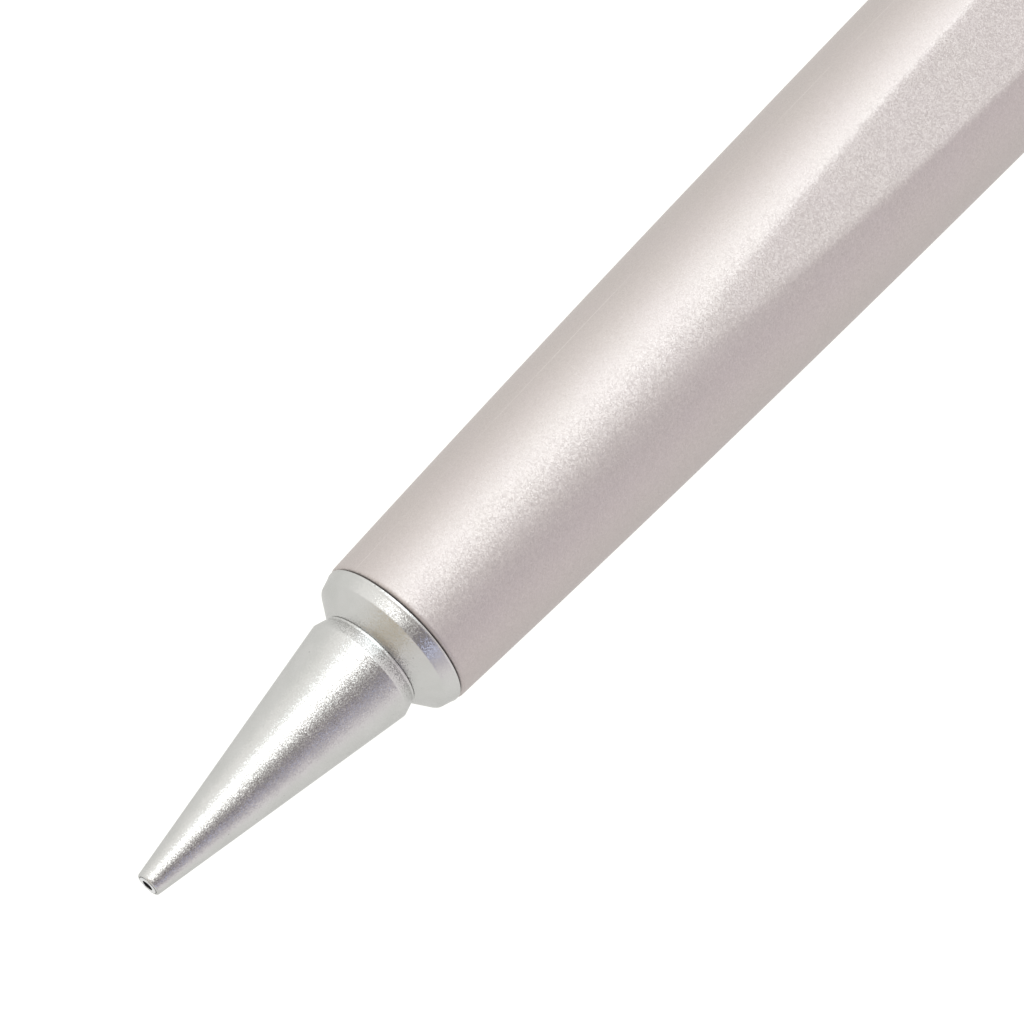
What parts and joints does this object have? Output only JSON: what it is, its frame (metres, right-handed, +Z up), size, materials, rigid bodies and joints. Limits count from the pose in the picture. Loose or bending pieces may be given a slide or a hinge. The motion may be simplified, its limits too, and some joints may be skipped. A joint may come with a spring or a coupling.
{
  "type": "lead holder",
  "caption": "Push-button fine-lead holder with a turned metal cone, a swelling pearl-coated barrel with opposite flats, and a spring clip.",
  "frame": {"origin": "centre of the holder's box, at the level of the lower flat it lies on", "axes": "+X from the tip to the button, +Z up from the lower flat through the upper flat and the clip, +Y across"},
  "size_m": [0.14, 0.0108, 0.012],
  "materials": {
    "satin_metal": "satin blasted, clear",
    "pearl_coat": "satin pearl, champagne",
    "steel": "fine turned",
    "spring_steel": "drawn wire",
    "brass": "turned",
    "black_rubber": "matte",
    "white_plastic": "moulded",
    "eraser_vinyl": "matte vinyl",
    "graphite": "drawn graphite"
  },
  "bodies": {
    "holder": {"barrel": "pearl_coat", "front_bush": "brass", "mechanism_sleeve": "brass", "clutch_spring": "spring_steel", "rear_bush": "satin_metal", "clip_ring": "satin_metal"},
    "clip": {"clip_arm": "satin_metal"},
    "retainer": {"lead_retainer": "black_rubber"},
    "nose": {"nose_cone": "satin_metal", "lead_guide_pipe": "steel"},
    "ring": {"clutch_ring": "brass"},
    "clutch": {"clutch_stem": "brass", "tube_connector": "white_plastic", "lead_tube": "white_plastic", "spare_lead_1": "graphite", "spare_lead_2": "graphite", "eraser_ferrule": "steel"},
    "jaw_1": {"clutch_jaw_1": "brass"},
    "jaw_2": {"clutch_jaw_2": "brass"},
    "jaw_3": {"clutch_jaw_3": "brass"},
    "lead": {"writing_lead": "graphite"},
    "button": {"push_button": "satin_metal"},
    "eraser": {"eraser": "eraser_vinyl", "cleaning_pin": "steel"}
  },
  "joints": [
    {"name": "button_press", "type": "slide", "parent": "holder", "child": "clutch", "axis": [-1, 0, 0], "range_m": [0, 0.0035], "stiffness_N_per_m": 1000, "springref_m": -0.004, "deforming": ["clutch_spring"]},
    {"name": "ring_follow", "type": "slide", "parent": "holder", "child": "ring", "axis": [-1, 0, 0], "range_m": [0, 0.00055]},
    {"name": "jaw_open_1", "type": "hinge", "parent": "clutch", "child": "jaw_1", "pos_m": [-0.049, 0, 0.00539], "axis": [0, 1, 0], "range_deg": [0, 2.01]},
    {"name": "jaw_open_2", "type": "hinge", "parent": "clutch", "child": "jaw_2", "pos_m": [-0.049, -0.00056, 0.00441], "axis": [0, -0.5, 0.866], "range_deg": [0, 2.01]},
    {"name": "jaw_open_3", "type": "hinge", "parent": "clutch", "child": "jaw_3", "pos_m": [-0.049, 0.00056, 0.00441], "axis": [0, -0.5, -0.866], "range_deg": [0, 2.01]},
    {"name": "lead_feed", "type": "slide", "parent": "holder", "child": "lead", "axis": [-1, 0, 0], "range_m": [0, 0.02]},
    {"name": "button_pull", "type": "slide", "parent": "clutch", "child": "button", "axis": [1, 0, 0], "range_m": [0, 0.024]},
    {"name": "eraser_pull", "type": "slide", "parent": "clutch", "child": "eraser", "axis": [1, 0, 0], "range_m": [0, 0.012]},
    {"name": "nose_advance", "type": "slide", "parent": "holder", "child": "retainer", "axis": [-1, 0, 0], "range_m": [0, 0.0045]},
    {"name": "nose_unscrew", "type": "hinge", "parent": "retainer", "child": "nose", "pos_m": [-0.046, 0, 0.00474], "axis": [-1, 0, 0], "range_deg": [0, 2161]},
    {"name": "clip_flex", "type": "hinge", "parent": "holder", "child": "clip", "pos_m": [0.0583, 0, 0.01144], "axis": [0, 1, 0], "range_deg": [0, 4], "stiffness_Nm_per_rad": 2}
  ],
  "couplings": [
    {"joint": "ring_follow", "follows": "button_press", "ratio": 0.157},
    {"joint": "jaw_open_1", "follows": "button_press", "rad_per_m": 9.9733},
    {"joint": "jaw_open_2", "follows": "button_press", "rad_per_m": 9.9733},
    {"joint": "jaw_open_3", "follows": "button_press", "rad_per_m": 9.9733},
    {"joint": "eraser_pull", "follows": "button_pull", "ratio": 0.5},
    {"joint": "nose_unscrew", "follows": "nose_advance", "rad_per_m": 8377.6}
  ]
}
